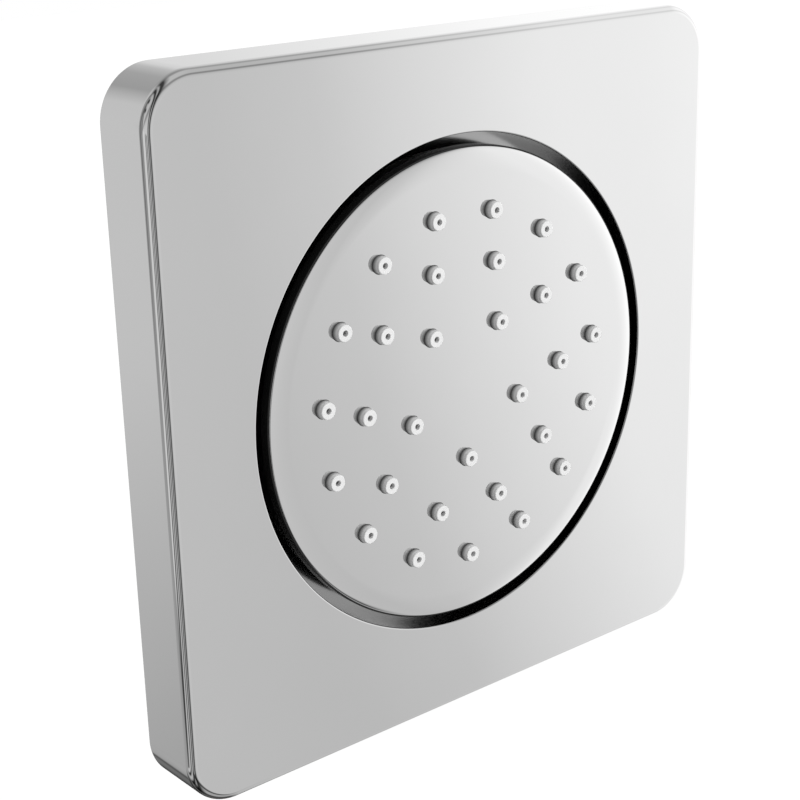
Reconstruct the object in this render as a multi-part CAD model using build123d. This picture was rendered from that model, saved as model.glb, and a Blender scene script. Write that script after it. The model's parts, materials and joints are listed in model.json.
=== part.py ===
"""Square wall-mounted shower body jet with a round swivelling spray head.

Millimetres. X points right, Z up, and the front of the jet faces -Y. The wall is the plane Y = 0 and
the origin is the centre of the plate on that plane. Depths are written as s, the distance in front of
the wall, so s = -Y and everything hidden in the wall has a negative s.
"""
import math
import os

from build123d import *

# Square cover plate
plate_w = 130.0
plate_depth = 13.5
plate_wall = 2.0
plate_corner_r = 9.7
plate_edge_r = 1.6
opening_r = 47.3
opening_rim_r = 0.45
collar_wall = 1.6
recess_depth = 6.5
recess_floor_t = 1.2

# Swivel of the spray head
swing = 3.5
run_gap = 0.4
ball_r = 9.5
ball_s = -6.0
ball_gap = 0.25
seat_t = 1.6

# Spray face and its stack
face_r = opening_r - 2.6
face_proud = 0.5
face_wall = 0.8
face_roll_w = 4.0
face_roll_h = 0.4
carrier_set_back = 0.2
carrier_bevel = 0.3
carrier_rim_over = 2.7
carrier_skirt = 2.0
mat_t = 1.5
backing_t = 1.5
cover_t = 1.8
cover_rim_t = 2.2
chamber_step = 1.2
thread_gap = 0.1

# Spray nozzles in rings: ring radius as a share of the face's radius, nozzles in each ring, and the
# angle of the first one from +X towards +Z
nozzle_shares = (0.31, 0.539, 0.7465)
nozzle_counts = (5, 10, 15)
nozzle_starts = (270.0, 0.0, 270.0)
chamber_margin = 1.4
nozzle_out = 2.0
nozzle_base_r = 1.75
nozzle_tip_r = 1.55
nozzle_bore_r = 0.55
nozzle_funnel_r = 1.1
nozzle_gap = 0.05
slot_w = 2.6
spoke_w = 3.0
spokes = 5
first_spoke = 18.0

# Wall bracket, its gasket and the clips that hold the plate
bracket_t = 2.0
bracket_margin = 5.0
bracket_corner_r = 7.0
wall_hole_r = 2.25
wall_hole_pitch = 94.0
gasket_gap = 0.3
clip_t = 0.6
clip_w = 16.0
clip_foot = 10.0
clip_top_s = 7.6
clip_barb_s = 5.8
clip_barb = 0.8
clip_rib_t = 0.6
clip_rib_h = 0.8
rivet_r = 1.25
rivet_head_r = 2.2
rivet_head_h = 0.8
rivet_pitch = 9.0
rivet_recess = 0.2
rivet_edge = 0.6

# Inlet in the wall: a cup and the threaded stub in its floor, G 1/2 is 20.955 mm over its crests
cup_r = 21.0
cup_wall = 2.5
cup_floor_s = -20.5
cup_floor_t = 3.5
inlet_gasket_t = 0.8
flange_w = 7.5
flange_t = 3.0
flange_screw_share = 0.4
flange_screws = 4
inlet_thread_r = 20.955 / 2
inlet_thread_l = 18.0
inlet_bore_r = 7.0
inlet_step_r = 4.5
inlet_step_t = 3.0
stub_flange_r = 14.0
stub_flange_t = 2.5
stub_recess = 1.5
stub_groove_w = 1.0
stub_groove_h = 0.8
stub_chamfer = 0.8
stub_nut_flats = 27.0
stub_nut_t = 6.0
screw_r = 1.45
screw_head_r = 2.75
screw_head_h = 1.25
screw_end_s = -3.6
screw_key_r = 1.1
screw_key_h = 0.75

# Ball stem
stem_neck_r = 5.5
stem_collar_t = 2.5
stem_thread_r = 6.0
stem_thread_l = 9.0
stem_bore_r = 3.25
stem_key_flats = 7.0
stem_key_back = 4.0
stem_seal_w = 0.9
stem_seal_h = 1.2
stem_end_gap = 0.5
collar_pass_gap = 0.2

# Socket, seal and union nut of the head
boss_thread_r = 14.4
boss_foot_r = 17.5
boss_end = 3.0
dish_margin = 0.5
nut_r = 17.5
nut_front = 8.6
nut_end = 9.0
nut_mouth_r = 9.0
nut_flutes = 12
nut_flute_r = 1.2
seal_in_r = 5.0
seal_out_r = 7.45
seal_back = 7.4
seal_front = 10.4
water_r = 4.5
water_wall = 2.0
seat_front_arc = (48.0, 80.0)
seat_rear_arc = (97.0, 128.0)
nut_seat_arc = 130.0

# Small pieces in the water way
chamber_seal_w = 1.4
chamber_seal_h = 1.1
diffuser_r = 10.0
diffuser_t = 1.0
diffuser_leg_r = 1.2
diffuser_leg_h = 1.6
diffuser_legs = 4
regulator_r = 6.6
regulator_l = 5.0
regulator_seal_r = 5.6
regulator_seal_h = 1.6
regulator_holes = 6
regulator_hole_r = 0.9
regulator_ring_r = 3.4
filter_t = 0.8
filter_rim = 1.1
filter_bar = 0.5
filter_pitch = 1.9
filter_bars = 5

# Sizes that follow from the ones above
both_swings = math.acos(math.cos(math.radians(swing)) ** 2)
cavity_w = plate_w - 2 * plate_wall
cavity_corner_r = plate_corner_r - plate_wall
cavity_front_s = plate_depth - plate_wall
bracket_w = cavity_w - 2 * bracket_margin
recess_floor_s = plate_depth - recess_depth
rim_back_s = recess_floor_s + run_gap + face_r * math.sin(both_swings)
face_front_s = plate_depth + face_proud
mat_front_s = face_front_s - face_wall
mat_back_s = mat_front_s - mat_t
backing_back_s = mat_back_s - backing_t
carrier_r = face_r - carrier_set_back
skirt_r = face_r - carrier_rim_over
skirt_in_r = skirt_r - carrier_skirt
recess_in_r = skirt_r + (rim_back_s - ball_s) * math.sin(both_swings) + run_gap
cover_r = skirt_in_r - thread_gap
cover_back_s = backing_back_s - cover_rim_t
nozzle_ring_r = [share * face_r for share in nozzle_shares]
mat_r = skirt_in_r - thread_gap
chamber_r = nozzle_ring_r[-1] + chamber_margin
nozzle_tip_s = plate_depth + nozzle_out
seat_in_r = ball_r + ball_gap
seat_out_r = seat_in_r + seat_t
socket_r = seat_out_r + ball_gap
water_floor_s = ball_s + seal_front + water_wall
nut_front_s = ball_s + nut_front
flange_r = cup_r + cup_wall + flange_w
flange_screw_r = cup_r + cup_wall + flange_screw_share * flange_w
inlet_flange_s = -inlet_gasket_t
cup_back_s = cup_floor_s - cup_floor_t
stub_front_s = cup_floor_s + stub_flange_t
stub_groove_s = cup_back_s - stub_nut_t
inlet_end_s = stub_groove_s - stub_groove_w - inlet_thread_l
stem_collar_r = seat_in_r * math.sin(math.radians(seat_rear_arc[1])) - collar_pass_gap
stem_seat_s = stub_front_s - stub_recess
stem_end_s = stem_seat_s - stem_thread_l
stem_hole_s = stem_end_s - stem_end_gap
stem_seal_r = stem_thread_r + stem_seal_w
inlet_step_s = stem_hole_s - inlet_step_t


def head_back_s(radius):
    """Lowest depth that the head may have at a radius and still clear the bracket when swung both ways."""
    return bracket_t + run_gap + radius * math.sin(both_swings)


# Building blocks
SECTION = Plane(origin=(0, 0, 0), x_dir=(1, 0, 0), z_dir=(0, 0, -1))


def facing(s):
    """Drawing plane at depth s that looks at the front of the jet: X right, Z up."""
    return Plane(origin=(0, -s, 0), x_dir=(1, 0, 0), z_dir=(0, -1, 0))


def slab(sketch, s_back, s_front):
    """Sketch, drawn as seen from the front, thickened between two depths."""
    return extrude(facing(s_back) * sketch, s_front - s_back)


def rod(radius, s_back, s_front, x=0.0, z=0.0):
    """Cylinder along the jet's axis."""
    return slab(Pos(x, z) * Circle(radius), s_back, s_front)


def tube(r_out, r_in, s_back, s_front):
    """Plain ring along the jet's axis."""
    return slab(Circle(r_out) - Circle(r_in), s_back, s_front)


def turned(outline):
    """Solid turned about the jet's axis from lines drawn as (radius, s)."""
    return revolve(SECTION * make_face(outline), Axis.Y)


def turned_points(*points):
    """Solid turned about the jet's axis from straight lines between (radius, s) points."""
    return turned(Polyline(*points, close=True))


def on_ball(radius, polar):
    """(radius, s) of a point at a distance from the ball's centre, polar degrees from the front."""
    angle = math.radians(polar)
    return (radius * math.sin(angle), ball_s + radius * math.cos(angle))


def ball_arc(radius, polar_from, polar_to):
    """Arc about the ball's centre in the (radius, s) section."""
    middle = (polar_from + polar_to) / 2
    return ThreePointArc(on_ball(radius, polar_from), on_ball(radius, middle), on_ball(radius, polar_to))


def globe(radius):
    """Full sphere about the ball's centre."""
    return Pos(0, -ball_s, 0) * Sphere(radius)


def around(count, radius, first=0.0):
    """(x, z) points spaced evenly on a circle."""
    spots = []
    for k in range(count):
        angle = math.radians(first + 360.0 * k / count)
        spots.append((radius * math.cos(angle), radius * math.sin(angle)))
    return spots


def nozzle_spots():
    """(x, z) of every nozzle."""
    spots = []
    for radius, count, first in zip(nozzle_ring_r, nozzle_counts, nozzle_starts):
        spots += around(count, radius, first)
    return spots


def quarter_turns(solid):
    """The same solid on all four sides of the plate."""
    return [Rot(0, 90.0 * k, 0) * solid for k in range(4)]


# Pieces fixed to the wall
def make_escutcheon():
    shell = slab(RectangleRounded(plate_w, plate_w, plate_corner_r), 0, plate_depth)
    shell = fillet(shell.edges().group_by(Axis.Y)[0], plate_edge_r)
    shell -= slab(RectangleRounded(cavity_w, cavity_w, cavity_corner_r), 0, cavity_front_s)
    shell += tube(opening_r + collar_wall, recess_in_r, recess_floor_s - recess_floor_t, cavity_front_s)
    shell -= rod(opening_r, recess_floor_s, plate_depth)
    rim = shell.edges().filter_by(GeomType.CIRCLE).group_by(Axis.Y)[0]
    rim = [edge for edge in rim if abs(edge.radius - opening_r) < opening_rim_r]
    shell = fillet(rim, opening_rim_r)
    rib_x = cavity_w / 2 - clip_rib_t / 2
    rib = slab(Pos(rib_x, 0) * Rectangle(clip_rib_t, clip_w), clip_barb_s - clip_rib_h, clip_barb_s)
    for one in quarter_turns(rib):
        shell += one
    return shell


def make_wall_gasket():
    inside_w = bracket_w + 2 * gasket_gap
    ring = RectangleRounded(cavity_w, cavity_w, cavity_corner_r)
    ring -= RectangleRounded(inside_w, inside_w, bracket_corner_r + gasket_gap)
    return slab(ring, 0, bracket_t)


def clip_rivet_spots():
    x = bracket_w / 2 - rivet_head_r - rivet_edge
    return [(x, -rivet_pitch / 2), (x, rivet_pitch / 2)]


def make_wall_bracket():
    plate = slab(RectangleRounded(bracket_w, bracket_w, bracket_corner_r), 0, bracket_t)
    plate -= rod(cup_r, 0, bracket_t)
    for x in (-wall_hole_pitch / 2, wall_hole_pitch / 2):
        for z in (-wall_hole_pitch / 2, wall_hole_pitch / 2):
            plate -= rod(wall_hole_r, 0, bracket_t, x, z)
    for x, z in flange_screw_spots():
        plate -= Pos(x, 0, z) * screw_blank()
    for rivet in make_clip_rivets():
        plate -= rivet
    hole_ends = [rod(rivet_r, 0, rivet_recess, x, z) for x, z in clip_rivet_spots()]
    for end in hole_ends:
        for one in quarter_turns(end):
            plate -= one
    return plate


def make_escutcheon_clips():
    x_wall = cavity_w / 2
    x_leg = x_wall - clip_barb
    outline = Polyline(
        (x_leg - clip_foot, bracket_t),
        (x_leg, bracket_t),
        (x_leg, clip_barb_s),
        (x_wall, clip_barb_s),
        (x_leg, clip_top_s),
        (x_leg - clip_t, clip_top_s),
        (x_leg - clip_t, bracket_t + clip_t),
        (x_leg - clip_foot, bracket_t + clip_t),
        close=True,
    )
    clip = extrude(SECTION * make_face(outline), clip_w / 2, both=True)
    for x, z in clip_rivet_spots():
        clip -= rod(rivet_r, bracket_t, bracket_t + clip_t, x, z)
    return quarter_turns(clip)


def make_clip_rivets():
    top = bracket_t + clip_t
    rivets = []
    for x, z in clip_rivet_spots():
        rivet = rod(rivet_r, rivet_recess, top, x, z) + rod(rivet_head_r, top, top + rivet_head_h, x, z)
        rivets += quarter_turns(rivet)
    return rivets


def flange_screw_spots():
    return around(flange_screws, flange_screw_r, 45.0)


def make_inlet_gasket():
    ring = tube(flange_r, cup_r, inlet_flange_s, 0)
    for x, z in flange_screw_spots():
        ring -= rod(screw_r, inlet_flange_s, 0, x, z)
    return ring


def screw_blank():
    """Countersunk screw on the jet's axis, without the drive in its head."""
    return turned_points(
        (0, bracket_t),
        (screw_head_r, bracket_t),
        (screw_r, bracket_t - screw_head_h),
        (screw_r, screw_end_s),
        (0, screw_end_s),
    )


def make_inlet_screws():
    drive = slab(RegularPolygon(screw_key_r, 6), bracket_t - screw_key_h, bracket_t)
    screw = screw_blank() - drive
    return [Pos(x, 0, z) * screw for x, z in flange_screw_spots()]


def make_inlet_cup():
    cup = turned_points(
        (cup_r, inlet_flange_s),
        (flange_r, inlet_flange_s),
        (flange_r, inlet_flange_s - flange_t),
        (cup_r + cup_wall, inlet_flange_s - flange_t),
        (cup_r + cup_wall, cup_back_s),
        (inlet_thread_r + thread_gap, cup_back_s),
        (inlet_thread_r + thread_gap, cup_floor_s),
        (cup_r, cup_floor_s),
    )
    for x, z in flange_screw_spots():
        cup -= rod(screw_r, inlet_flange_s - flange_t, inlet_flange_s, x, z)
    return cup


def make_inlet_stub():
    groove_r = inlet_thread_r - stub_groove_h
    groove_end_s = stub_groove_s - stub_groove_w
    return turned_points(
        (stem_collar_r + thread_gap, stub_front_s),
        (stub_flange_r, stub_front_s),
        (stub_flange_r, cup_floor_s),
        (inlet_thread_r, cup_floor_s),
        (inlet_thread_r, stub_groove_s),
        (groove_r, stub_groove_s),
        (groove_r, groove_end_s),
        (inlet_thread_r, groove_end_s),
        (inlet_thread_r, inlet_end_s + stub_chamfer),
        (inlet_thread_r - stub_chamfer, inlet_end_s),
        (inlet_bore_r, inlet_end_s),
        (inlet_bore_r, inlet_step_s),
        (inlet_step_r, inlet_step_s),
        (inlet_step_r, stem_hole_s),
        (stem_thread_r + thread_gap, stem_hole_s),
        (stem_thread_r + thread_gap, stem_seat_s - stem_seal_h),
        (stem_seal_r, stem_seat_s - stem_seal_h),
        (stem_seal_r, stem_seat_s),
        (stem_collar_r + thread_gap, stem_seat_s),
    )


def make_stub_nut():
    side_r = stub_nut_flats / 2
    corner_r = side_r / math.cos(math.pi / 6)
    bevel = (corner_r - side_r) * math.tan(math.pi / 6)
    hexagon = RegularPolygon(side_r, 6, major_radius=False) - Circle(inlet_thread_r + thread_gap)
    blank = turned_points(
        (0, cup_back_s),
        (corner_r, cup_back_s),
        (corner_r, stub_groove_s + bevel),
        (side_r, stub_groove_s),
        (0, stub_groove_s),
    )
    return slab(hexagon, stub_groove_s, cup_back_s) & blank


def make_ball_stem():
    collar_front_s = stem_seat_s + stem_collar_t
    stem = globe(ball_r)
    stem += rod(stem_neck_r, collar_front_s, ball_s)
    stem += rod(stem_collar_r, stem_seat_s, collar_front_s)
    stem += rod(stem_thread_r, stem_end_s, stem_seat_s)
    stem -= rod(stem_bore_r, stem_end_s, ball_s + ball_r)
    key = RegularPolygon(stem_key_flats / 2, 6, major_radius=False)
    stem -= slab(key, ball_s - stem_key_back, ball_s + ball_r)
    return stem


def make_stem_o_ring():
    return tube(stem_seal_r, stem_thread_r, stem_seat_s - stem_seal_h, stem_seat_s)


def regulator_seal_s():
    middle = inlet_step_s - regulator_l / 2
    return (middle - regulator_seal_h / 2, middle + regulator_seal_h / 2)


def make_flow_regulator():
    seal_back_s, seal_front_s = regulator_seal_s()
    back_s = inlet_step_s - regulator_l
    body = rod(regulator_r, back_s, inlet_step_s)
    body -= tube(inlet_bore_r, regulator_seal_r, seal_back_s, seal_front_s)
    for x, z in around(regulator_holes, regulator_ring_r):
        body -= rod(regulator_hole_r, back_s, inlet_step_s, x, z)
    return body


def make_regulator_o_ring():
    seal_back_s, seal_front_s = regulator_seal_s()
    return tube(inlet_bore_r, regulator_seal_r, seal_back_s, seal_front_s)


def make_filter_screen():
    front_s = inlet_step_s - regulator_l
    inside_r = inlet_bore_r - filter_rim
    bars = Sketch()
    for k in range(filter_bars):
        offset = (k - (filter_bars - 1) / 2) * filter_pitch
        bars += Pos(offset, 0) * Rectangle(filter_bar, 2 * inlet_bore_r)
        bars += Pos(0, offset) * Rectangle(2 * inlet_bore_r, filter_bar)
    grid = (bars & Circle(inside_r + filter_rim / 2)) + (Circle(inlet_bore_r) - Circle(inside_r))
    return slab(grid, front_s - filter_t, front_s)


# Pieces of the swivel between the ball and the head
def seat_ring(arc):
    start, end = arc
    outline = [
        ball_arc(seat_in_r, start, end),
        Line(on_ball(seat_in_r, end), on_ball(seat_out_r, end)),
        ball_arc(seat_out_r, end, start),
        Line(on_ball(seat_out_r, start), on_ball(seat_in_r, start)),
    ]
    return turned(outline)


# Pieces of the spray head
def make_spray_face():
    roll_s = face_front_s - face_roll_h
    roll_r = face_r - face_roll_w
    outline = [
        Line((0, face_front_s), (roll_r, face_front_s)),
        EllipticalCenterArc((roll_r, roll_s), face_roll_w, face_roll_h, start_angle=0, arc_size=90),
        Polyline(
            (face_r, roll_s),
            (face_r, mat_front_s),
            (0, mat_front_s),
            (0, face_front_s),
        ),
    ]
    face = turned(outline)
    for x, z in nozzle_spots():
        face -= rod(nozzle_base_r + nozzle_gap, mat_front_s, face_front_s, x, z)
    return face


def make_face_carrier():
    return turned_points(
        (skirt_in_r, mat_front_s),
        (carrier_r, mat_front_s),
        (carrier_r, rim_back_s + carrier_bevel),
        (carrier_r - carrier_bevel, rim_back_s),
        (skirt_r, rim_back_s),
        (skirt_r, cover_back_s),
        (skirt_in_r, cover_back_s),
    )


def make_nozzle_mat():
    nozzle = turned_points(
        (0, mat_back_s),
        (nozzle_base_r, mat_back_s),
        (nozzle_base_r, face_front_s),
        (nozzle_tip_r, nozzle_tip_s),
        (0, nozzle_tip_s),
    )
    bore = turned_points(
        (0, mat_back_s),
        (nozzle_funnel_r, mat_back_s),
        (nozzle_bore_r, face_front_s),
        (nozzle_bore_r, nozzle_tip_s),
        (0, nozzle_tip_s),
    )
    mat = rod(mat_r, mat_back_s, mat_front_s)
    mat += [Pos(x, 0, z) * nozzle for x, z in nozzle_spots()]
    mat -= [Pos(x, 0, z) * bore for x, z in nozzle_spots()]
    return mat


def make_nozzle_backing():
    plate = Circle(mat_r)
    for radius in nozzle_ring_r:
        trim = math.degrees((spoke_w + slot_w) / radius)
        for k in range(spokes):
            start = first_spoke + 360.0 * k / spokes + trim / 2
            span = 360.0 / spokes - trim
            plate -= SlotArc(CenterArc((0, 0), radius, start, span), slot_w)
    return slab(plate, backing_back_s, mat_back_s)


def chamber_seal_s():
    middle = (cover_back_s + backing_back_s) / 2
    return (middle - chamber_seal_h / 2, middle + chamber_seal_h / 2)


def make_chamber_cover():
    seal_back_s, seal_front_s = chamber_seal_s()
    groove_r = skirt_in_r - chamber_seal_w
    dish_r = boss_foot_r + dish_margin
    dish_s = water_floor_s
    step_s = backing_back_s - chamber_step
    mouth_polar = math.degrees(math.asin(seal_out_r / socket_r))
    foot_s = nut_front_s
    end_s = ball_s - boss_end
    outline = [
        Polyline(
            (water_r, ball_s + seal_front),
            (water_r, dish_s),
            (dish_r, dish_s),
            (chamber_r, step_s),
            (chamber_r, backing_back_s),
            (cover_r, backing_back_s),
            (cover_r, seal_front_s),
            (groove_r, seal_front_s),
            (groove_r, seal_back_s),
            (cover_r, seal_back_s),
            (cover_r, cover_back_s),
            (chamber_r + cover_t, cover_back_s),
            (chamber_r, step_s - cover_t),
            (dish_r, head_back_s(dish_r)),
            (boss_foot_r, foot_s),
            (boss_thread_r, foot_s),
            (boss_thread_r, end_s),
            (socket_r, end_s),
            (socket_r, ball_s),
        ),
        ball_arc(socket_r, 90.0, mouth_polar),
        Polyline(
            on_ball(socket_r, mouth_polar),
            (seal_out_r, ball_s + seal_front),
            (water_r, ball_s + seal_front),
        ),
    ]
    return turned(outline)


def make_chamber_o_ring():
    seal_back_s, seal_front_s = chamber_seal_s()
    return tube(skirt_in_r, skirt_in_r - chamber_seal_w, seal_back_s, seal_front_s)


def make_diffuser():
    leg_top_s = water_floor_s + diffuser_leg_h
    disc = rod(diffuser_r, leg_top_s, leg_top_s + diffuser_t)
    for x, z in around(diffuser_legs, diffuser_r - 2 * diffuser_leg_r, 45.0):
        disc += rod(diffuser_leg_r, water_floor_s, leg_top_s, x, z)
    return disc


def make_ball_seal():
    ring = tube(seal_out_r, seal_in_r, ball_s + seal_back, ball_s + seal_front)
    return ring - globe(seat_in_r)


def make_socket_nut():
    thread_r = boss_thread_r + thread_gap
    step_s = ball_s - boss_end - thread_gap
    start = 180.0 - math.degrees(math.acos((ball_s - step_s) / socket_r))
    outline = [
        Polyline(
            on_ball(socket_r, start),
            (thread_r, step_s),
            (thread_r, nut_front_s),
            (nut_r, nut_front_s),
            (nut_r, ball_s - nut_end),
            (nut_mouth_r, ball_s - nut_end),
            on_ball(socket_r, nut_seat_arc),
        ),
        ball_arc(socket_r, nut_seat_arc, start),
    ]
    nut = turned(outline)
    for x, z in around(nut_flutes, nut_r + nut_flute_r / 3):
        nut -= rod(nut_flute_r, ball_s - nut_end, nut_front_s, x, z)
    return nut


pieces = {
    "escutcheon": make_escutcheon(),
    "wall_gasket": make_wall_gasket(),
    "wall_bracket": make_wall_bracket(),
    "escutcheon_clips": make_escutcheon_clips(),
    "clip_rivets": make_clip_rivets(),
    "inlet_gasket": make_inlet_gasket(),
    "inlet_screws": make_inlet_screws(),
    "inlet_cup": make_inlet_cup(),
    "inlet_stub": make_inlet_stub(),
    "stub_nut": make_stub_nut(),
    "ball_stem": make_ball_stem(),
    "stem_o_ring": make_stem_o_ring(),
    "flow_regulator": make_flow_regulator(),
    "regulator_o_ring": make_regulator_o_ring(),
    "filter_screen": make_filter_screen(),
    "ball_seat_rear": seat_ring(seat_rear_arc),
    "ball_seat_front": seat_ring(seat_front_arc),
    "spray_face": make_spray_face(),
    "face_carrier": make_face_carrier(),
    "nozzle_mat": make_nozzle_mat(),
    "nozzle_backing": make_nozzle_backing(),
    "chamber_cover": make_chamber_cover(),
    "chamber_o_ring": make_chamber_o_ring(),
    "diffuser": make_diffuser(),
    "ball_seal": make_ball_seal(),
    "socket_nut": make_socket_nut(),
}

os.makedirs("parts", exist_ok=True)
for name, piece in pieces.items():
    if isinstance(piece, list):
        piece = Compound(children=[one.solid() for one in piece])
    export_step(piece, f"parts/{name}.step")
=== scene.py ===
"""Looks of the square shower body jet: polished chrome plate and spray face, white silicone nozzles.

Metres. X points right, Z up and the front faces -Y. Depths are written as s, the distance in front of the
wall, so s = -Y, and u is a distance outward from an axis or an outline.
"""
import json
import math

import bpy
from mathutils import Matrix, Vector
from mathutils.geometry import delaunay_2d_cdt


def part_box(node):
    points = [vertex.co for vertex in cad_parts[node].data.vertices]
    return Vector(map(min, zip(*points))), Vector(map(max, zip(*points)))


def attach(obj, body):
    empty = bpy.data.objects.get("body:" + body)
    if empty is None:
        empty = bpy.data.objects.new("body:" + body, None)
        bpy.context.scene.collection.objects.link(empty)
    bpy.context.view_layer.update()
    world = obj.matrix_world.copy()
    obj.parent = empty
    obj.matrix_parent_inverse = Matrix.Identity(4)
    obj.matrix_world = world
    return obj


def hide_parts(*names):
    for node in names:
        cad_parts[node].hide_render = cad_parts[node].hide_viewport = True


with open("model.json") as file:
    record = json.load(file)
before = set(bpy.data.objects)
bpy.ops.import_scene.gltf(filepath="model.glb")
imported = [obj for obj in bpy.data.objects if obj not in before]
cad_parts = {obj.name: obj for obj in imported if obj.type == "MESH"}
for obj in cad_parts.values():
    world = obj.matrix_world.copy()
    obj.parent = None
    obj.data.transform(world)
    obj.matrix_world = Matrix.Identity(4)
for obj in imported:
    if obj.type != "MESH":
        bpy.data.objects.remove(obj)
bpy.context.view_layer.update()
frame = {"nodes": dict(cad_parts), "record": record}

MM = 0.001

# Sizes that the boxes of the CAD nodes give
plate_low, plate_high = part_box("escutcheon")
face_low, face_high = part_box("spray_face")
carrier_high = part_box("face_carrier")[1]
mat_low, mat_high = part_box("nozzle_mat")
cup_low, cup_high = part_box("inlet_cup")
stub_low, stub_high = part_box("inlet_stub")
nut_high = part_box("stub_nut")[1]
plate_half = plate_high[0]
plate_front = -plate_low[1]
face_r = face_high[0]
face_front = -face_low[1]
face_back = -face_high[1]
carrier_back = -carrier_high[1]
mat_r = mat_high[0]
mat_back = -mat_high[1]
nozzle_tip = -mat_low[1]
flange_r = cup_high[0]
flange_front = -cup_low[1]
cup_back = -cup_high[1]
stub_flange_r = stub_high[0]
stub_front = -stub_low[1]
stub_end = -stub_high[1]
nut_back = -nut_high[1]

# Cover plate and the ring-shaped recess round the spray face
plate_wall = 2.0 * MM
plate_corner_r = 9.7 * MM
plate_edge_r = 1.6 * MM
opening_r = 47.3 * MM
opening_rim_r = 0.3 * MM
collar_wall = 1.6 * MM
recess_depth = 6.5 * MM
recess_floor = plate_front - recess_depth
recess_floor_t = 1.2 * MM
recess_in_r = 43.89 * MM
back_edge_r = 0.3 * MM

# Spray face and its carrier
face_roll_w = 4.0 * MM
face_roll_h = 0.4 * MM
face_edge_t = 0.1 * MM
carrier_rim_back = 11.255 * MM
carrier_bevel = 0.3 * MM
carrier_lip = 0.6 * MM
carrier_ledge = 0.3 * MM
carrier_ledge_round = 0.1 * MM
skirt_inset = 2.7 * MM
skirt_wall = 2.0 * MM
skirt_r = face_r - skirt_inset
skirt_in_r = skirt_r - skirt_wall

# Nozzles: ring radius as a share of the face's radius, nozzles in the ring, degrees of the first one
nozzle_rings = ((0.31, 5, 270.0), (0.539, 10, 0.0), (0.7465, 15, 270.0))
nozzle_base_r = 1.75 * MM
nozzle_tip_r = 1.55 * MM
nozzle_tip_round = 0.18 * MM
nozzle_bore_r = 0.55 * MM
nozzle_bore_round = 0.08 * MM
nozzle_funnel_r = 1.1 * MM
nozzle_gap = 0.05 * MM

# Inlet cup
flange_t = 3.0 * MM
flange_edge_r = 0.5 * MM
flange_holes = 4
flange_first_hole = 45.0
flange_hole_ring_r = 26.5 * MM
flange_hole_r = 1.45 * MM
cup_in_r = 21.0 * MM
cup_wall = 2.5 * MM
cup_out_r = cup_in_r + cup_wall
cup_floor_t = 3.5 * MM
cup_floor = cup_back + cup_floor_t
cup_edge_r = 1.2 * MM
cup_foot_r = 0.8 * MM

# Inlet stub: G 1/2 pipe thread outside, stepped bore inside
pipe_r = 20.955 / 2 * MM
pipe_gap = 0.1 * MM
pipe_pitch = 1.814 * MM
pipe_thread_h = 1.162 * MM
pipe_chamfer = 0.8 * MM
pipe_probe = 0.01 * MM
groove_w = 1.0 * MM
groove_h = 0.8 * MM
groove_front = nut_back
groove_back = groove_front - groove_w
groove_r = pipe_r - groove_h
seat_r = 7.583 * MM
seal_r = 6.9 * MM
stem_r = 6.1 * MM
step_r = 4.5 * MM
bore_r = 7.0 * MM
seat_depth = 1.5 * MM
seal_depth = 1.2 * MM
stem_depth = 9.5 * MM
step_t = 3.0 * MM
seat_s = stub_front - seat_depth
seal_s = seat_s - seal_depth
stem_s = seat_s - stem_depth
step_s = stem_s - step_t

# Fineness of the meshes
corner_steps = 28
side_steps = 40
round_steps = 8
ring_steps = 320
nozzle_steps = 40
inlet_steps = 144
thread_steps = 12
fill_step = 2.4 * MM
fill_rim_gap = fill_step / 2
fill_hole_gap = fill_step / 3
crease_limit = 0.02
shared_digits = 8
weld_limit = 1e-6


class Shape:
    """Mesh with shared corners that keeps the exact surface direction of every face corner."""

    def __init__(self):
        self.points = []
        self.index = {}
        self.faces = []
        self.normals = []

    def point(self, place):
        """Number of the corner at a place, which all the faces that meet there share."""
        key = tuple(round(value, shared_digits) for value in place)
        if key not in self.index:
            self.index[key] = len(self.points)
            self.points.append(place)
        return self.index[key]

    def face(self, places, directions):
        """Adds a face, without corners that fall together."""
        corners = [self.point(place) for place in places]
        kept = [k for k in range(len(corners)) if corners[k] != corners[k - 1]]
        if len(kept) < 3:
            return
        self.faces.append([corners[k] for k in kept])
        self.normals += [directions[k] for k in kept]

    def creases(self):
        """Pairs of corners whose edge the surface direction jumps across."""
        seen = {}
        sharp = set()
        first = 0
        for corners in self.faces:
            count = len(corners)
            for k in range(count):
                after = (k + 1) % count
                ends = {corners[k]: self.normals[first + k], corners[after]: self.normals[first + after]}
                edge = tuple(sorted(ends))
                other = seen.setdefault(edge, ends)
                for corner in edge:
                    if math.dist(other[corner], ends[corner]) > crease_limit:
                        sharp.add(edge)
            first += count
        return sharp

    def build(self, name):
        """Makes the object, smooth between its creases."""
        mesh = bpy.data.meshes.new(name)
        mesh.from_pydata(self.points, [], self.faces)
        mesh.polygons.foreach_set("use_smooth", [True] * len(self.faces))
        sharp = self.creases()
        for edge in mesh.edges:
            edge.use_edge_sharp = tuple(sorted(edge.vertices)) in sharp
        mesh.normals_split_custom_set([Vector(normal).normalized() for normal in self.normals])
        mesh.update()
        piece = bpy.data.objects.new(name, mesh)
        bpy.context.scene.collection.objects.link(piece)
        return piece


def circle_stations(steps):
    """Stations of a turned form: start point, outward direction."""
    stations = []
    for k in range(steps):
        angle = 2 * math.pi * k / steps
        stations.append(((0.0, 0.0), (math.cos(angle), math.sin(angle))))
    return stations


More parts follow.
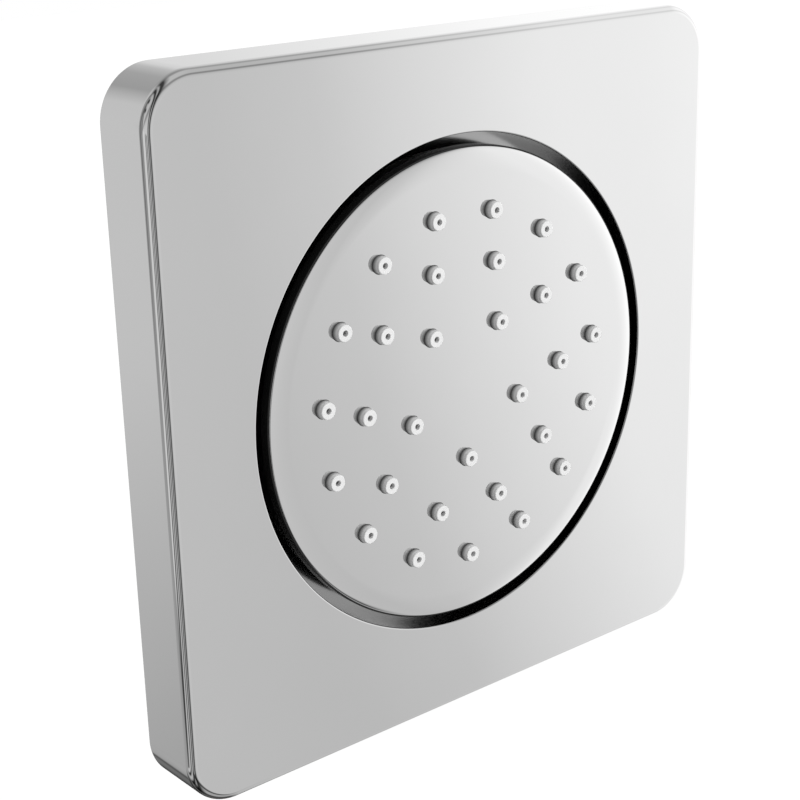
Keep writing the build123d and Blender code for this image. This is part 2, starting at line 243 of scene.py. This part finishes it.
def square_stations(half, corner_r):
    """Stations round a square with rounded corners: point on the outline, outward direction."""
    flat = half - corner_r
    stations = []
    for quarter in range(4):
        turn = math.pi / 2 * quarter
        cos_t = math.cos(turn)
        sin_t = math.sin(turn)
        spots = []
        for k in range(side_steps):
            spots.append(((half, -flat + 2 * flat * k / side_steps), (1.0, 0.0)))
        for k in range(corner_steps):
            angle = math.pi / 2 * k / corner_steps
            out = (math.cos(angle), math.sin(angle))
            spots.append(((flat + corner_r * out[0], flat + corner_r * out[1]), out))
        for (x, z), (nx, nz) in spots:
            stations.append(((x * cos_t - z * sin_t, x * sin_t + z * cos_t),
                             (nx * cos_t - nz * sin_t, nx * sin_t + nz * cos_t)))
    return stations


def ring_points(stations, u):
    """Points (x, z) at an outward distance from the stations."""
    return [(start[0] + u * out[0], start[1] + u * out[1]) for start, out in stations]


def straight(u0, s0, u1, s1):
    """Run of the section between two points, with the surface direction on its right."""
    length = math.hypot(u1 - u0, s1 - s0)
    out = ((s1 - s0) / length, -(u1 - u0) / length)
    return [((u0, s0), out), ((u1, s1), out)]


def rounded(centre_u, centre_s, radius_u, radius_s, start, end, hollow=False, steps=round_steps):
    """Run of the section along an ellipse's arc, start and end in degrees."""
    run = []
    for k in range(steps + 1):
        angle = math.radians(start + (end - start) * k / steps)
        cos_a = math.cos(angle)
        sin_a = math.sin(angle)
        out = Vector((cos_a / radius_u, sin_a / radius_s)).normalized()
        out = -out if hollow else out
        run.append(((centre_u + radius_u * cos_a, centre_s + radius_s * sin_a), tuple(out)))
    return run


def sweep(shape, stations, runs, centre=(0.0, 0.0)):
    """Carries section runs, (outward distance, depth) with directions, round the stations."""
    for run in runs:
        for begin, end in zip(run, run[1:]):
            for k in range(len(stations)):
                here = stations[k]
                there = stations[(k + 1) % len(stations)]
                corners = [(here, begin), (there, begin), (there, end), (here, end)]
                places = []
                directions = []
                for (start, out), ((u, s), (du, ds)) in corners:
                    x = centre[0] + start[0] + u * out[0]
                    z = centre[1] + start[1] + u * out[1]
                    places.append((x, -s, z))
                    directions.append((du * out[0], -ds, du * out[1]))
                shape.face(places, directions)


def bridge(shape, outer, inner, s, facing):
    """Flat face at depth s between two rings of (x, z) points with the same count."""
    direction = (0.0, -facing, 0.0)
    count = len(outer)
    for k in range(count):
        ring = [outer[k], inner[k], inner[(k + 1) % count], outer[(k + 1) % count]]
        if facing > 0:
            ring.reverse()
        shape.face([(x, -s, z) for x, z in ring], [direction] * 4)


def drilled_disc(shape, radius, steps, holes, hole_r, hole_steps, s, facing, inner_r=0.0):
    """Flat round face or ring at depth s with round holes in it, triangulated in millimetres."""
    rings = [ring_points(circle_stations(steps), radius)]
    if inner_r > 0:
        rings.append(ring_points(circle_stations(steps), inner_r))
    for x, z in holes:
        rings.append([(x + px, z + pz) for px, pz in ring_points(circle_stations(hole_steps), hole_r)])
    places = []
    owners = []
    edges = []
    for number, ring in enumerate(rings):
        first = len(places)
        places += ring
        owners += [number] * len(ring)
        edges += [(first + k, first + (k + 1) % len(ring)) for k in range(len(ring))]

    # Points between the rings keep the triangles even
    fill_from = inner_r + fill_rim_gap if inner_r > 0 else 0.0
    fill_to = radius - fill_rim_gap
    clearance = hole_r + fill_hole_gap
    count = int(radius / fill_step)
    for i in range(-count, count + 1):
        for k in range(-count, count + 1):
            x = (i + 0.5 * (k % 2)) * fill_step
            z = k * fill_step
            clear_of_rims = fill_from <= math.hypot(x, z) < fill_to
            if clear_of_rims and all(math.hypot(x - hx, z - hz) > clearance for hx, hz in holes):
                places.append((x, z))
                owners.append(0)

    # A triangle with all its corners on the rim of one hole lies in that hole
    coords = [Vector((x / MM, z / MM)) for x, z in places]
    _, _, triangles, origins, _, _ = delaunay_2d_cdt(coords, edges, [], 1, weld_limit)
    direction = (0.0, -facing, 0.0)
    for triangle in triangles:
        sources = [origins[k][0] for k in triangle]
        if owners[sources[0]] > 0 and len({owners[k] for k in sources}) == 1:
            continue
        corners = [places[k] for k in sources]
        (ax, az), (bx, bz), (cx, cz) = corners
        turns_left = (bx - ax) * (cz - az) - (bz - az) * (cx - ax) > 0
        if turns_left != (facing > 0):
            corners.reverse()
        shape.face([(x, -s, z) for x, z in corners], [direction] * 3)


def around(count, radius, first):
    """Points (x, z) spaced evenly on a circle, the first one at an angle in degrees from +X towards +Z."""
    spots = []
    for k in range(count):
        angle = math.radians(first + 360.0 * k / count)
        spots.append((radius * math.cos(angle), radius * math.sin(angle)))
    return spots


def nozzle_spots():
    """Centres (x, z) of all the nozzles."""
    spots = []
    for share, count, first in nozzle_rings:
        spots += around(count, share * face_r, first)
    return spots


def make_plate():
    """Cover plate: rounded square shell with a round opening, a collar behind it and a floor in its ring."""
    shape = Shape()
    outline = square_stations(plate_half, plate_corner_r)
    polar = [math.atan2(start[1], start[0]) for start, _ in outline]
    opening = [((0.0, 0.0), (math.cos(angle), math.sin(angle))) for angle in polar]
    edge = plate_edge_r
    back = back_edge_r
    inside_s = plate_front - plate_wall
    sweep(shape, outline, [
        straight(-plate_wall, inside_s, -plate_wall, 0.0),
        straight(-plate_wall, 0.0, -back, 0.0),
        rounded(-back, back, back, back, -90, 0),
        straight(0.0, back, 0.0, plate_front - edge),
        rounded(-edge, plate_front - edge, edge, edge, 0, 90, steps=2 * round_steps),
    ])
    rim_r = opening_r + opening_rim_r
    bridge(shape, ring_points(outline, -edge), ring_points(opening, rim_r), plate_front, 1)
    collar_back = recess_floor - recess_floor_t
    collar_r = opening_r + collar_wall
    sweep(shape, opening, [
        rounded(rim_r, plate_front - opening_rim_r, opening_rim_r, opening_rim_r, 90, 180),
        straight(opening_r, plate_front - opening_rim_r, opening_r, recess_floor),
        straight(opening_r, recess_floor, recess_in_r, recess_floor),
        straight(recess_in_r, recess_floor, recess_in_r, collar_back),
        straight(recess_in_r, collar_back, collar_r, collar_back),
        straight(collar_r, collar_back, collar_r, inside_s),
    ])
    bridge(shape, ring_points(outline, -plate_wall), ring_points(opening, collar_r), inside_s, -1)
    return shape.build("cover_plate")


def make_face():
    """Thin chrome spray disc with its rolled edge, the step for the carrier's lip and nozzle holes."""
    shape = Shape()
    roll_r = face_r - face_roll_w
    roll_s = face_front - face_roll_h
    lip_r = face_r - carrier_lip
    lip_s = roll_s - face_edge_t
    hole_r = nozzle_base_r + nozzle_gap
    sweep(shape, circle_stations(ring_steps), [
        straight(lip_r, face_back, lip_r, lip_s),
        straight(lip_r, lip_s, face_r, lip_s),
        straight(face_r, lip_s, face_r, roll_s),
        rounded(roll_r, roll_s, face_roll_w, face_roll_h, 0, 90, steps=3 * round_steps),
    ])
    spots = nozzle_spots()
    drilled_disc(shape, roll_r, ring_steps, spots, hole_r, nozzle_steps, face_front, 1)
    drilled_disc(shape, lip_r, ring_steps, spots, hole_r, nozzle_steps, face_back, -1)
    for spot in spots:
        sweep(shape, circle_stations(nozzle_steps), [straight(hole_r, face_front, hole_r, face_back)], spot)
    return shape.build("spray_disc")


def make_carrier():
    """Black carrier behind the disc: skirt, overhanging rim and the ledge under the disc's edge."""
    shape = Shape()
    bevel = carrier_bevel
    corner = carrier_ledge_round
    side_r = face_r + carrier_ledge
    lip_r = face_r - carrier_lip
    lip_s = face_front - face_roll_h - face_edge_t
    sweep(shape, circle_stations(ring_steps), [
        straight(skirt_in_r, face_back, skirt_in_r, carrier_back),
        straight(skirt_in_r, carrier_back, skirt_r, carrier_back),
        straight(skirt_r, carrier_back, skirt_r, carrier_rim_back),
        straight(skirt_r, carrier_rim_back, side_r - bevel, carrier_rim_back),
        straight(side_r - bevel, carrier_rim_back, side_r, carrier_rim_back + bevel),
        straight(side_r, carrier_rim_back + bevel, side_r, lip_s - corner),
        rounded(side_r - corner, lip_s - corner, corner, corner, 0, 90),
        straight(side_r - corner, lip_s, lip_r, lip_s),
        straight(lip_r, lip_s, lip_r, face_back),
        straight(lip_r, face_back, skirt_in_r, face_back),
    ])
    return shape.build("carrier")


def make_nozzles():
    """Silicone mat with its nozzles."""
    shape = Shape()
    mat_front = face_back
    tip = nozzle_tip_round
    mouth = nozzle_bore_round
    spots = nozzle_spots()
    sweep(shape, circle_stations(ring_steps), [straight(mat_r, mat_back, mat_r, mat_front)])
    drilled_disc(shape, mat_r, ring_steps, spots, nozzle_base_r, nozzle_steps, mat_front, 1)
    drilled_disc(shape, mat_r, ring_steps, spots, nozzle_funnel_r, nozzle_steps, mat_back, -1)
    runs = [
        straight(nozzle_base_r, mat_front, nozzle_base_r, face_front),
        straight(nozzle_base_r, face_front, nozzle_tip_r, nozzle_tip - tip),
        rounded(nozzle_tip_r - tip, nozzle_tip - tip, tip, tip, 0, 90),
        straight(nozzle_tip_r - tip, nozzle_tip, nozzle_bore_r + mouth, nozzle_tip),
        rounded(nozzle_bore_r + mouth, nozzle_tip - mouth, mouth, mouth, 90, 180),
        straight(nozzle_bore_r, nozzle_tip - mouth, nozzle_bore_r, face_front),
        straight(nozzle_bore_r, face_front, nozzle_funnel_r, mat_back),
    ]
    for spot in spots:
        sweep(shape, circle_stations(nozzle_steps), runs, spot)
    return shape.build("nozzles")


def make_cup():
    """Brass inlet cup with its screw flange."""
    shape = Shape()
    edge = flange_edge_r
    end = cup_edge_r
    foot = cup_foot_r
    flange_back = flange_front - flange_t
    foot_r = cup_out_r + foot
    hole_in_r = pipe_r + pipe_gap
    sweep(shape, circle_stations(inlet_steps), [
        straight(hole_in_r, cup_back, cup_out_r - end, cup_back),
        rounded(cup_out_r - end, cup_back + end, end, end, -90, 0),
        straight(cup_out_r, cup_back + end, cup_out_r, flange_back - foot),
        rounded(foot_r, flange_back - foot, foot, foot, 180, 90, hollow=True),
        rounded(flange_r - edge, flange_back + edge, edge, edge, -90, 0),
        straight(flange_r, flange_back + edge, flange_r, flange_front - edge),
        rounded(flange_r - edge, flange_front - edge, edge, edge, 0, 90),
        straight(cup_in_r, flange_front, cup_in_r, cup_floor),
        straight(cup_in_r, cup_floor, hole_in_r, cup_floor),
        straight(hole_in_r, cup_floor, hole_in_r, cup_back),
    ])
    spots = around(flange_holes, flange_hole_ring_r, flange_first_hole)
    flat_r = flange_r - edge
    for s, facing, inner_r in ((flange_back, -1, foot_r), (flange_front, 1, cup_in_r)):
        drilled_disc(shape, flat_r, inlet_steps, spots, flange_hole_r, nozzle_steps, s, facing, inner_r)
    for spot in spots:
        walls = [straight(flange_hole_r, flange_front, flange_hole_r, flange_back)]
        sweep(shape, circle_stations(nozzle_steps), walls, spot)
    return shape.build("cup")


def pipe_radius(s, angle):
    """Radius of the right-hand pipe thread, which runs out at the groove and is bevelled at its end."""
    turns = s / pipe_pitch - angle / (2 * math.pi)
    depth = pipe_thread_h * 0.5 * (1 - math.cos(2 * math.pi * turns))
    run_out = min(1.0, (groove_back - s) / pipe_pitch)
    return min(pipe_r - run_out * depth, pipe_r - pipe_chamfer + s - stub_end)


def pipe_corner(s, angle):
    """Point of the pipe thread's surface and the surface direction there."""
    step = pipe_probe
    turn = step / pipe_r
    radius = pipe_radius(s, angle)
    along = (pipe_radius(s + step, angle) - pipe_radius(s - step, angle)) / (2 * step)
    about = (pipe_radius(s, angle + turn) - pipe_radius(s, angle - turn)) / (2 * turn * radius)
    cos_a = math.cos(angle)
    sin_a = math.sin(angle)
    return (radius * cos_a, -s, radius * sin_a), (cos_a + about * sin_a, along, sin_a - about * cos_a)


def make_stub():
    """Brass inlet stub: flange in the cup, groove behind the nut, pipe thread and stepped bore."""
    shape = Shape()
    stations = circle_stations(inlet_steps)
    sweep(shape, stations, [
        straight(groove_r, groove_back, groove_r, groove_front),
        straight(groove_r, groove_front, pipe_r, groove_front),
        straight(pipe_r, groove_front, pipe_r, cup_floor),
        straight(pipe_r, cup_floor, stub_flange_r, cup_floor),
        straight(stub_flange_r, cup_floor, stub_flange_r, stub_front),
        straight(stub_flange_r, stub_front, seat_r, stub_front),
        straight(seat_r, stub_front, seat_r, seat_s),
        straight(seat_r, seat_s, seal_r, seat_s),
        straight(seal_r, seat_s, seal_r, seal_s),
        straight(seal_r, seal_s, stem_r, seal_s),
        straight(stem_r, seal_s, stem_r, stem_s),
        straight(stem_r, stem_s, step_r, stem_s),
        straight(step_r, stem_s, step_r, step_s),
        straight(step_r, step_s, bore_r, step_s),
        straight(bore_r, step_s, bore_r, stub_end),
    ])
    count = round((groove_back - stub_end) / pipe_pitch * thread_steps)
    angles = [2 * math.pi * k / inlet_steps for k in range(inlet_steps)]
    rows = []
    for i in range(count + 1):
        s = stub_end + (groove_back - stub_end) * i / count
        rows.append([pipe_corner(s, angle) for angle in angles])
    for low, high in zip(rows, rows[1:]):
        for k in range(inlet_steps):
            after = (k + 1) % inlet_steps
            corners = [low[k], low[after], high[after], high[k]]
            shape.face([place for place, _ in corners], [direction for _, direction in corners])
    end_ring = [(place[0], place[2]) for place, _ in rows[0]]
    top_ring = [(place[0], place[2]) for place, _ in rows[-1]]
    bridge(shape, end_ring, ring_points(stations, bore_r), stub_end, -1)
    bridge(shape, top_ring, ring_points(stations, groove_r), groove_back, 1)
    return shape.build("threaded_stub")


# Materials: a finish is a colour with a roughness, and a grain is the noise's cells in a metre
grain_detail = 4.0
# Painted shade: the plate's chrome turns darker grey down in the ring-shaped recess round the spray face,
# and rougher there
ring_shade_grey = 0.4
ring_roughness = 0.16
ring_starts = opening_r + 0.9 * opening_rim_r
ring_full = opening_r + 0.2 * opening_rim_r
# Painted shade: the white silicone goes dark grey towards each nozzle's foot, and stays so behind the disc
foot_shade_grey = 0.1
foot_roughness = 0.6
foot_starts = face_front + 0.9 * MM
foot_full = face_front + 0.1 * MM
black_specular = 0.25


def grey(level):
    """Colour without hue."""
    return (level, level, level)


def greys(dark, light):
    """Two greys between which a surface wanders."""
    return grey(dark), grey(light)


def mottled(name, colours, grain, roughness, metallic=0.0):
    """Material whose colour and roughness wander a little between two values with a fine noise."""
    material = bpy.data.materials.new(name)
    material.use_nodes = True
    nodes = material.node_tree.nodes
    links = material.node_tree.links
    shader = nodes["Principled BSDF"]
    place = nodes.new("ShaderNodeTexCoord")
    noise = nodes.new("ShaderNodeTexNoise")
    noise.inputs["Scale"].default_value = grain
    noise.inputs["Detail"].default_value = grain_detail
    colour = nodes.new("ShaderNodeValToRGB")
    for stop, value in zip(colour.color_ramp.elements, colours):
        stop.color = (*value, 1.0)
    gloss = nodes.new("ShaderNodeMapRange")
    gloss.inputs["To Min"].default_value = roughness[0]
    gloss.inputs["To Max"].default_value = roughness[1]
    links.new(place.outputs["Object"], noise.inputs["Vector"])
    links.new(noise.outputs["Fac"], colour.inputs["Fac"])
    links.new(noise.outputs["Fac"], gloss.inputs["Value"])
    links.new(colour.outputs["Color"], shader.inputs["Base Color"])
    links.new(gloss.outputs["Result"], shader.inputs["Roughness"])
    shader.inputs["Metallic"].default_value = metallic
    return material


def metal(name, colours, grain, roughness):
    """Mottled bare metal."""
    return mottled(name, colours, grain, roughness, metallic=1.0)


def polished_chrome(name):
    """Chrome that mirrors its surround almost clearly."""
    return metal(name, greys(0.77, 0.79), grain=60.0, roughness=(0.015, 0.03))


def blended(material, colour, roughness, share):
    """Fades the colour and roughness of a material towards another finish by a share from 0 to 1."""
    nodes = material.node_tree.nodes
    links = material.node_tree.links
    shader = nodes["Principled BSDF"]
    for name, data_type, kind, value in (
        ("Base Color", "RGBA", "Color", (*colour, 1.0)),
        ("Roughness", "FLOAT", "Float", roughness),
    ):
        socket = shader.inputs[name]
        mix = nodes.new("ShaderNodeMix")
        mix.data_type = data_type
        sockets = {entry.identifier: entry for entry in (*mix.inputs, *mix.outputs)}
        links.new(share, sockets["Factor_Float"])
        links.new(socket.links[0].from_socket, sockets["A_" + kind])
        sockets["B_" + kind].default_value = value
        links.new(sockets["Result_" + kind], socket)
    return material


def object_place(material):
    """X, Y and Z of the shaded point, as the outputs of a node."""
    nodes = material.node_tree.nodes
    place = nodes.new("ShaderNodeTexCoord")
    split = nodes.new("ShaderNodeSeparateXYZ")
    material.node_tree.links.new(place.outputs["Object"], split.inputs["Vector"])
    return split.outputs


def growing_share(material, distance, low, high):
    """Share that grows from 0 to 1 while a distance goes from low to high."""
    share = material.node_tree.nodes.new("ShaderNodeMapRange")
    share.inputs["From Min"].default_value = low
    share.inputs["From Max"].default_value = high
    material.node_tree.links.new(distance, share.inputs["Value"])
    return share.outputs["Result"]


def make_plate_chrome():
    """Polished chrome, darker down in the ring round the spray face as painted shade, and duller there by a
    guessed finish.
    """
    look = polished_chrome("plate_chrome")
    nodes = look.node_tree.nodes
    links = look.node_tree.links
    place = object_place(look)
    flat = nodes.new("ShaderNodeCombineXYZ")
    from_axis = nodes.new("ShaderNodeVectorMath")
    from_axis.operation = "LENGTH"
    links.new(place["X"], flat.inputs["X"])
    links.new(place["Z"], flat.inputs["Z"])
    links.new(flat.outputs["Vector"], from_axis.inputs[0])
    in_ring = growing_share(look, from_axis.outputs["Value"], ring_starts, ring_full)
    # Blends in the painted shade of the recess together with its duller finish
    return blended(look, grey(ring_shade_grey), ring_roughness, in_ring)


def make_silicone():
    """White silicone, painted dark towards each nozzle's foot in place of the shade there, and behind it."""
    look = mottled("white_silicone", greys(0.84, 0.88), grain=400.0, roughness=(0.45, 0.55))
    foot_shade_share = growing_share(look, object_place(look)["Y"], -foot_starts, -foot_full)
    return blended(look, grey(foot_shade_grey), foot_roughness, foot_shade_share)


def make_black_plastic():
    """Black plastic with a weak gloss."""
    look = mottled("black_plastic", greys(0.012, 0.018), grain=250.0, roughness=(0.12, 0.18))
    look.node_tree.nodes["Principled BSDF"].inputs["Specular IOR Level"].default_value = black_specular
    return look


chrome = polished_chrome("polished_chrome")
brass_colours = ((0.7, 0.52, 0.25), (0.76, 0.58, 0.3))
green_colours = ((0.15, 0.4, 0.26), (0.2, 0.47, 0.32))
slot_looks = {
    "plate_chrome": make_plate_chrome(),
    "face_chrome": chrome,
    "ball_chrome": chrome,
    "black_rubber": mottled("black_rubber", greys(0.02, 0.035), grain=300.0, roughness=(0.6, 0.75)),
    "black_plastic": make_black_plastic(),
    "white_silicone": make_silicone(),
    "bracket_steel": metal("bracket_steel", greys(0.48, 0.56), grain=200.0, roughness=(0.28, 0.38)),
    "spring_steel": metal("bright_steel", greys(0.55, 0.62), grain=200.0, roughness=(0.18, 0.26)),
    "cast_brass": metal("machined_brass", brass_colours, grain=500.0, roughness=(0.2, 0.27)),
    "grey_plastic": mottled("grey_plastic", greys(0.28, 0.34), grain=250.0, roughness=(0.4, 0.5)),
    "white_plastic": mottled("white_plastic", greys(0.8, 0.86), grain=250.0, roughness=(0.4, 0.5)),
    "green_plastic": mottled("green_plastic", green_colours, grain=250.0, roughness=(0.3, 0.4)),
}


def coat(piece, slot):
    """Gives a piece the look of its material slot and no other."""
    piece.data.materials.clear()
    piece.data.materials.append(slot_looks[slot])


for part in frame["record"]["subparts"]:
    coat(frame["nodes"][part["node"]], part["material_slot"])

for piece, body, node, slot in (
    (make_plate(), "wall_unit", "escutcheon", "plate_chrome"),
    (make_face(), "spray_head", "spray_face", "face_chrome"),
    (make_carrier(), "spray_head", "face_carrier", "black_plastic"),
    (make_nozzles(), "spray_head", "nozzle_mat", "white_silicone"),
    (make_cup(), "wall_unit", "inlet_cup", "cast_brass"),
    (make_stub(), "wall_unit", "inlet_stub", "cast_brass"),
):
    coat(piece, slot)
    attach(piece, body)
    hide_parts(node)

# Studio: a pale floor, a soft lamp and a tent of cards that the polished pieces mirror
white = (1.0, 1.0, 1.0, 1.0)
room_level = 0.42
floor_z = -4.5
floor_half = 40.0
floor_lift = 0.62
lamp_at = Vector((0.25, -1.0, 0.35))
lamp_size = 0.6
lamp_power = 7.4
camera_at = Vector((-0.2053, -0.2447, 0.1014))
camera_looks_at = Vector((-0.00383, 0.00077, -0.00521))
camera_roll = math.radians(-1.55)
camera_sensor_w = 36.0
camera_lens = 78.45
tent_r = 4.0
tent_steps = 24

# Levels of the cards as (degrees, level) stops. A card's place is its side, the degrees to the right of the
# middle plane, and its climb, the degrees from straight ahead up over the object and down behind it. The
# front, rear and low cards change with the side, and the behind and below stops say where they take over.
front_stops = (
    (-90, 0.8), (-66, 0.8), (-63, 0.06), (-60, 0.06), (-57, 0.65), (-52, 0.65), (-49, 0.05), (-46, 0.05),
    (-42, 0.6), (-37, 0.6), (-33, 0.05), (-29, 0.05), (-24, 0.6), (-19, 0.06), (-13, 0.06), (-8, 0.36),
    (-1, 0.7), (18, 0.7), (32, 0.66), (36, 0.73), (39, 0.86), (44, 1.05), (47, 1.07), (58, 1.28), (90, 1.28),
)
rear_stops = (
    (-90, 0.2), (-65, 0.32), (-56, 0.12), (-40, 0.44), (-36, 0.2), (-33, 0.67), (-25, 0.67), (-11, 0.42),
    (8, 0.46), (20, 0.6), (26, 0.77), (32, 0.79), (43, 1.07), (60, 1.25), (90, 1.25),
)
low_stops = (
    (-90, 0.3), (-22, 0.47), (-12, 0.44), (-8, 0.12), (-2, 0.24), (5, 0.2), (12, 0.08), (25, 0.08),
    (36, 0.9), (90, 1.1),
)
behind_stops = ((-180, 1.0), (-115, 1.0), (-98, 0.0), (92, 0.0), (115, 1.0), (180, 1.0))
below_stops = ((-180, 0.0), (-161, 0.0), (-145, 1.0), (-90, 1.0), (-80, 0.0), (180, 0.0))

# A light card at the left, and dark cards over and under the object, with their climbs and sides
left_level = 0.7
left_stops = ((-180, 0.0), (-14, 0.0), (-8, 1.0), (70, 1.0), (85, 0.0), (180, 0.0))
left_sides = ((-90, 1.0), (-44, 1.0), (-36, 0.0), (90, 0.0))
over_stops = (
    (-180, 0.0), (-60, 0.07), (-35, 0.07), (-15, 0.0), (3, 0.02), (20, 0.12), (31, 0.5), (39, 0.6),
    (52, 0.14), (84, 0.14), (97, 0.44), (111, 0.4), (124, 0.1), (150, 0.03), (180, 0.0),
)
over_sides = ((-90, 1.0), (36, 1.0), (45, 0.42), (90, 0.42))
under_stops = (
    (-180, 0.0), (-140, 0.0), (-130, 0.85), (-113, 0.85), (-108, 0.3), (-103, 0.88), (-80, 0.88),
    (-73, 0.3), (-58, 0.3), (-53, 0.85), (-47, 0.85), (-42, 0.0), (180, 0.0),
)
under_sides = ((-90, 0.0), (-40, 0.0), (-28, 1.0), (21, 1.0), (28, 0.0), (90, 0.0))


def seen_ray(nodes, links):
    """1 for the rays that show a background: from the camera, in a mirror or through something clear."""
    path = nodes.new("ShaderNodeLightPath")
    seen = path.outputs["Is Camera Ray"]
    for kind in ("Is Glossy Ray", "Is Transmission Ray"):
        either = nodes.new("ShaderNodeMath")
        either.operation = "MAXIMUM"
        links.new(seen, either.inputs[0])
        links.new(path.outputs[kind], either.inputs[1])
        seen = either.outputs["Value"]
    return seen


def make_world():
    """White wherever it is seen, and a plain grey level as light."""
    world = bpy.data.worlds.new("studio")
    bpy.context.scene.world = world
    world.use_nodes = True
    nodes = world.node_tree.nodes
    links = world.node_tree.links
    background = nodes["Background"]
    background.inputs["Color"].default_value = white
    level = nodes.new("ShaderNodeMapRange")
    level.inputs["To Min"].default_value = room_level
    level.inputs["To Max"].default_value = 1.0
    links.new(seen_ray(nodes, links), level.inputs["Value"])
    links.new(level.outputs["Result"], background.inputs["Strength"])


def tent_look():
    """Light of the cards by their side and climb."""
    look = bpy.data.materials.new("tent_cards")
    look.use_nodes = True
    nodes = look.node_tree.nodes
    links = look.node_tree.links
    nodes.clear()

    def math_node(operation, first, second=None):
        """Output of one operation on sockets or numbers."""
        node = nodes.new("ShaderNodeMath")
        node.operation = operation
        for socket, value in zip(node.inputs, (first, second)):
            if isinstance(value, float):
                socket.default_value = value
            elif value is not None:
                links.new(value, socket)
        return node.outputs["Value"]

    def ramp(stops, source):
        """Level read from (degrees, level) stops that cover the same degrees each way."""
        reach = stops[-1][0]
        share = nodes.new("ShaderNodeMapRange")
        share.inputs["From Min"].default_value = -math.radians(reach)
        share.inputs["From Max"].default_value = math.radians(reach)
        node = nodes.new("ShaderNodeValToRGB")
        elements = node.color_ramp.elements
        while len(elements) < len(stops):
            elements.new(0.5)
        # All start at the low end and the last moves first, so the elements keep their order
        for element in elements:
            element.position = 0.0
        for k in reversed(range(len(stops))):
            elements[k].position = 0.5 + 0.5 * stops[k][0] / reach
        for element, (_, level) in zip(elements, stops):
            element.color = (*grey(level), 1.0)
        links.new(source, share.inputs["Value"])
        links.new(share.outputs["Result"], node.inputs["Fac"])
        return node.outputs["Color"]

    def mixed(first, second, share):
        """First level where the share is 0 and second level where it is 1."""
        kept = math_node("MULTIPLY", first, math_node("SUBTRACT", 1.0, share))
        return math_node("ADD", kept, math_node("MULTIPLY", second, share))

    def card(stops, sides):
        """How much of a card there is at a climb and side."""
        return math_node("MULTIPLY", ramp(stops, climb), ramp(sides, side))

    place = nodes.new("ShaderNodeTexCoord")
    way = nodes.new("ShaderNodeVectorMath")
    way.operation = "NORMALIZE"
    split = nodes.new("ShaderNodeSeparateXYZ")
    links.new(place.outputs["Object"], way.inputs[0])
    links.new(way.outputs["Vector"], split.inputs["Vector"])
    side = math_node("ARCSINE", split.outputs["X"])
    climb = math_node("ARCTAN2", split.outputs["Z"], math_node("MULTIPLY", split.outputs["Y"], -1.0))
    rear = mixed(ramp(rear_stops, side), ramp(low_stops, side), ramp(below_stops, climb))
    level = mixed(ramp(front_stops, side), rear, ramp(behind_stops, climb))
    level = mixed(level, left_level, card(left_stops, left_sides))
    for stops, sides in ((over_stops, over_sides), (under_stops, under_sides)):
        level = math_node("MULTIPLY", level, math_node("SUBTRACT", 1.0, card(stops, sides)))
    glow = nodes.new("ShaderNodeEmission")
    out = nodes.new("ShaderNodeOutputMaterial")
    links.new(level, glow.inputs["Color"])
    links.new(glow.outputs["Emission"], out.inputs["Surface"])
    return look


def make_tent():
    """Ball of cards round the object, which only polished surfaces show."""
    shape = Shape()
    runs = [rounded(0.0, 0.0, tent_r, tent_r, -90, 90, steps=tent_steps)]
    sweep(shape, circle_stations(2 * tent_steps), runs)
    tent = shape.build("tent")
    tent.data.materials.append(tent_look())
    tent.visible_camera = False
    tent.visible_diffuse = False
    tent.visible_transmission = False
    tent.visible_shadow = False


def floor_look():
    """Pale floor that is seen as white."""
    look = mottled("pale_floor", greys(0.93, 0.95), grain=3.0, roughness=(0.8, 0.9))
    nodes = look.node_tree.nodes
    links = look.node_tree.links
    shader = nodes["Principled BSDF"]
    lift = nodes.new("ShaderNodeMath")
    lift.operation = "MULTIPLY"
    lift.inputs[1].default_value = floor_lift
    shader.inputs["Emission Color"].default_value = white
    links.new(seen_ray(nodes, links), lift.inputs[0])
    links.new(lift.outputs["Value"], shader.inputs["Emission Strength"])
    return look


def make_floor():
    """Square floor far below the object."""
    half = floor_half
    corners = [(x, y, floor_z) for x, y in ((-half, -half), (half, -half), (half, half), (-half, half))]
    mesh = bpy.data.meshes.new("floor")
    mesh.from_pydata(corners, [], [(0, 1, 2, 3)])
    floor = bpy.data.objects.new("floor", mesh)
    bpy.context.scene.collection.objects.link(floor)
    floor.data.materials.append(floor_look())


def aimed(at, target):
    """Placement at a point that looks at a target."""
    return Matrix.Translation(at) @ (target - at).to_track_quat("-Z", "Y").to_matrix().to_4x4()


def make_camera():
    """Camera at the left of the object and a little above it."""
    data = bpy.data.cameras.new("camera")
    data.sensor_width = camera_sensor_w
    data.lens = camera_lens
    camera = bpy.data.objects.new("camera", data)
    bpy.context.scene.collection.objects.link(camera)
    camera.matrix_world = aimed(camera_at, camera_looks_at) @ Matrix.Rotation(camera_roll, 4, "Z")
    bpy.context.scene.camera = camera


def make_lamp():
    """Soft lamp in front for the matt pieces; the polished ones show the surround alone."""
    data = bpy.data.lights.new("lamp", "AREA")
    data.shape = "SQUARE"
    data.size = lamp_size
    data.energy = lamp_power
    lamp = bpy.data.objects.new("lamp", data)
    bpy.context.scene.collection.objects.link(lamp)
    lamp.matrix_world = aimed(lamp_at, Vector((0.0, 0.0, 0.0)))
    lamp.visible_glossy = False
    lamp.visible_camera = False


make_world()
make_floor()
make_tent()
make_lamp()
make_camera()
bpy.context.scene.view_settings.view_transform = "Standard"
